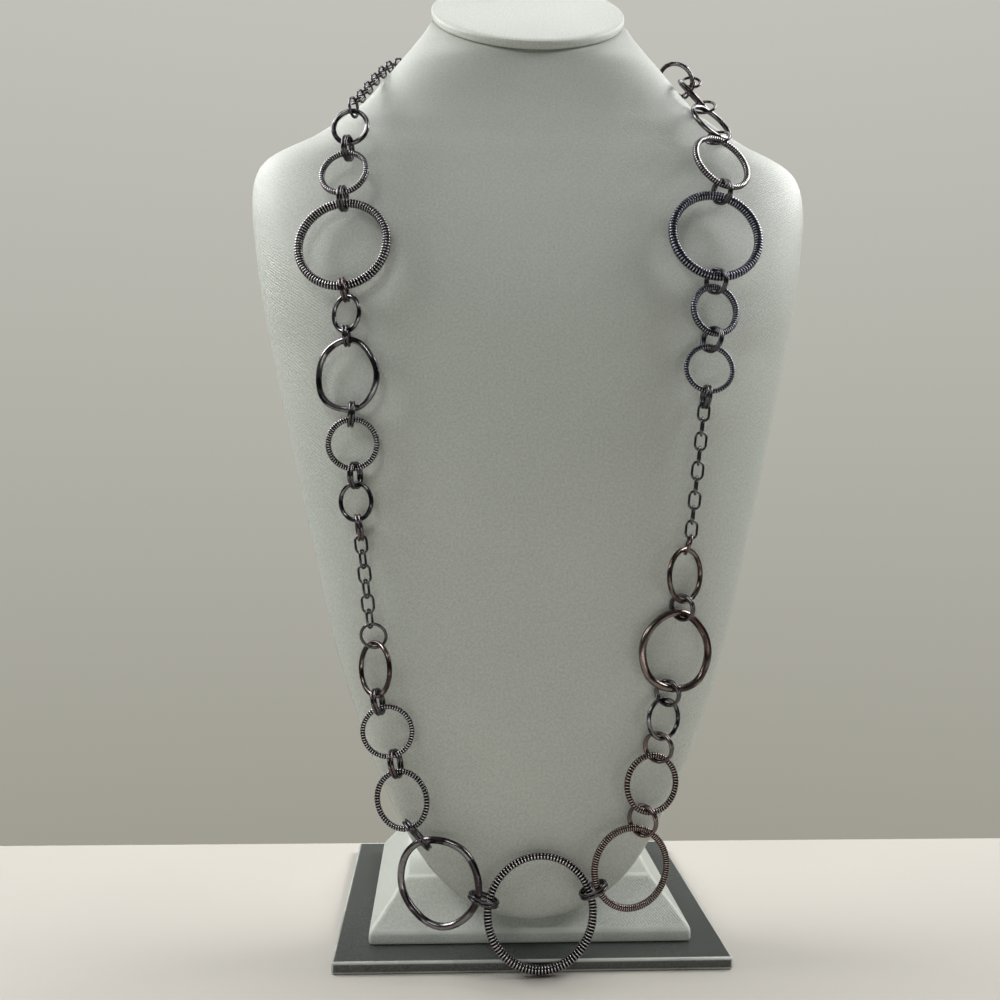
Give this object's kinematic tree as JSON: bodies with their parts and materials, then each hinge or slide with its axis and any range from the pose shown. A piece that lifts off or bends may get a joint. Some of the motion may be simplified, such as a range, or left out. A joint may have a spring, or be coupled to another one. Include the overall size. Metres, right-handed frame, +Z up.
{
  "type": "statement necklace on a neck bust stand",
  "caption": "Long necklace of open plain, ribbed and hammered rings joined by jump rings and oval link chain, worn on a neck and chest bust with a block and plate base.",
  "frame": {"origin": "middle of the base plate's underside", "axes": "+Z up, the front of the stand faces -Y, +X is to the right of a person who looks at the front"},
  "size_m": [0.267, 0.1714, 0.4894],
  "materials": {
    "gunmetal": "antiqued gunmetal plating, dark in the recesses and polished on the ridges",
    "blued_metal": "antiqued gunmetal plating with a blue-purple tint",
    "copper_metal": "antiqued copper-brown plating",
    "stand_cover": "pale grey-green satin leatherette with a fine linen weave",
    "base_cover": "charcoal leatherette with a fine linen weave"
  },
  "bodies": {
    "root": {"base_plate": "base_cover", "base_block": "stand_cover", "bust": "stand_cover", "neck_cap": "stand_cover", "left_ring_1": "gunmetal", "left_ring_2": "gunmetal", "left_ring_3": "gunmetal", "left_ring_4": "gunmetal", "left_ring_5": "gunmetal", "left_ring_6": "gunmetal", "left_ring_7": "gunmetal", "left_ring_8": "copper_metal", "left_ring_9": "gunmetal", "left_ring_10": "gunmetal", "left_ring_11": "gunmetal", "centre_ring": "gunmetal", "right_ring_1": "gunmetal", "right_ring_2": "gunmetal", "right_ring_3": "gunmetal", "right_ring_4": "gunmetal", "right_ring_5": "blued_metal", "right_ring_6": "blued_metal", "right_ring_7": "blued_metal", "right_ring_8": "copper_metal", "right_ring_9": "copper_metal", "right_ring_10": "gunmetal", "right_ring_11": "copper_metal", "right_ring_12": "copper_metal", "front_chain_left": "gunmetal", "front_chain_right": "gunmetal", "neck_chain_left": "gunmetal", "neck_chain_right": "gunmetal", "clasp": "gunmetal", "jump_rings_left": "gunmetal", "jump_rings_right": "copper_metal"}
  },
  "joints": []
}
